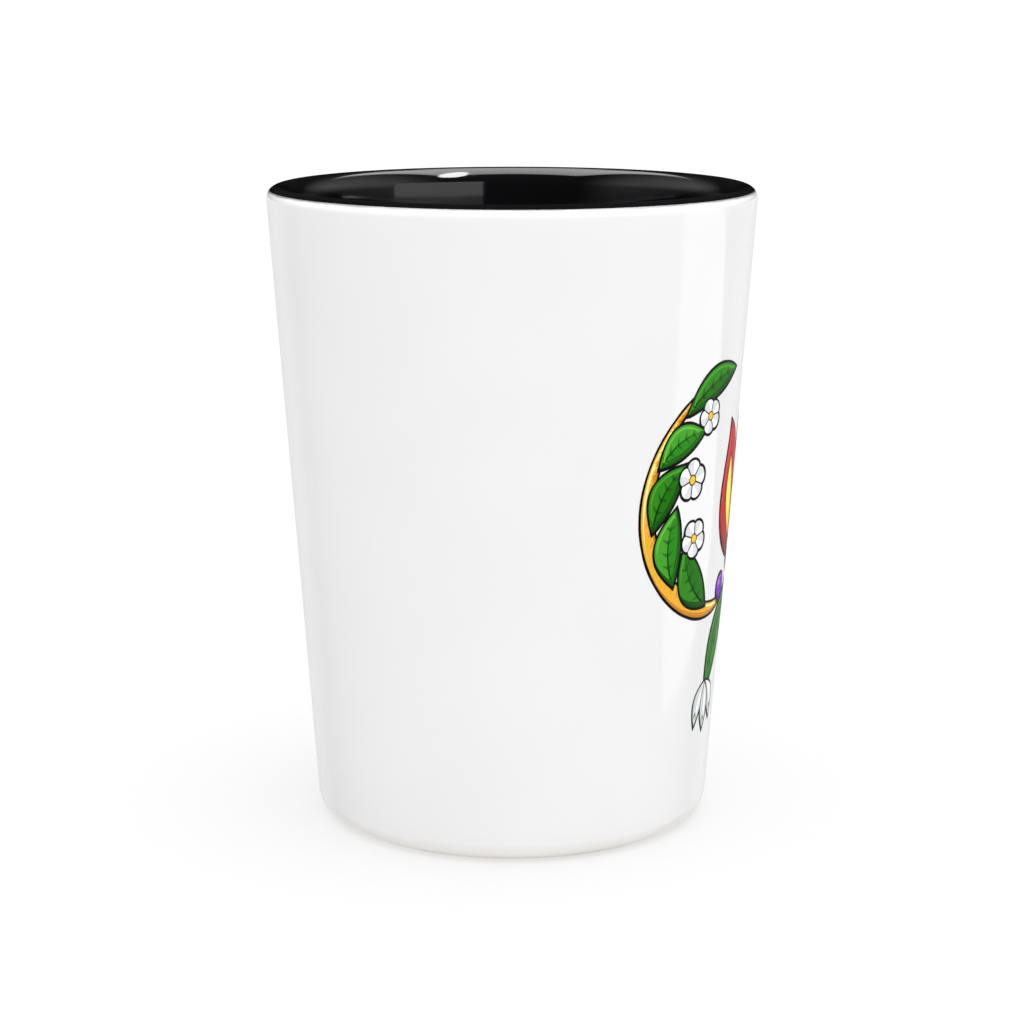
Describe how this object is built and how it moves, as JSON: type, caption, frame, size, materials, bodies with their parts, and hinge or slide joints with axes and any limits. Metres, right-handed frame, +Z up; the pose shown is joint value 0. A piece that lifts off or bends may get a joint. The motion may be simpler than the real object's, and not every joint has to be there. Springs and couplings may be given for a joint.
{
  "type": "shot glass",
  "caption": "Tapered ceramic shot glass, white outside and glossy black inside, with a coloured folk-art flower print on one side.",
  "frame": {"origin": "centre of the foot, on the surface the glass stands on", "axes": "+Z up along the axis of the cup; +X towards the middle of the print"},
  "size_m": [0.0456, 0.0456, 0.06],
  "materials": {
    "bisque": "matte",
    "white_glaze": "gloss",
    "black_glaze": "gloss",
    "black_ink": "gloss",
    "leaf_green_ink": "gloss",
    "bright_green_ink": "gloss",
    "gold_ink": "gloss",
    "white_ink": "gloss",
    "red_ink": "gloss",
    "yellow_ink": "gloss",
    "purple_ink": "gloss"
  },
  "bodies": {
    "root": {"ceramic_body": "bisque", "outer_white_glaze": "white_glaze", "inner_black_glaze": "black_glaze", "recess_glaze": "white_glaze", "black_underprint": "black_ink", "stem": "bright_green_ink", "lower_leaf_left": "leaf_green_ink", "lower_leaf_right": "leaf_green_ink", "snowdrop_petal_1_left": "white_ink", "snowdrop_petal_1_right": "white_ink", "snowdrop_petal_2_left": "white_ink", "snowdrop_petal_2_right": "white_ink", "snowdrop_petal_3_left": "white_ink", "snowdrop_petal_3_right": "white_ink", "gold_branch_left": "gold_ink", "gold_branch_right": "gold_ink", "wreath_leaf_1_left": "leaf_green_ink", "wreath_leaf_1_right": "leaf_green_ink", "wreath_leaf_2_left": "bright_green_ink", "wreath_leaf_2_right": "bright_green_ink", "wreath_leaf_3_left": "leaf_green_ink", "wreath_leaf_3_right": "leaf_green_ink", "wreath_leaf_4_left": "bright_green_ink", "wreath_leaf_4_right": "bright_green_ink", "wreath_leaf_5_left": "leaf_green_ink", "wreath_leaf_5_right": "leaf_green_ink", "blossom_1_left": "white_ink", "blossom_1_right": "white_ink", "blossom_2_left": "white_ink", "blossom_2_right": "white_ink", "blossom_3_left": "white_ink", "blossom_3_right": "white_ink", "berry_left": "purple_ink", "berry_right": "purple_ink", "outer_petal_left": "red_ink", "outer_petal_right": "red_ink", "yellow_petal_left": "yellow_ink", "yellow_petal_right": "yellow_ink", "center_petal": "red_ink", "calyx": "leaf_green_ink"}
  },
  "joints": []
}
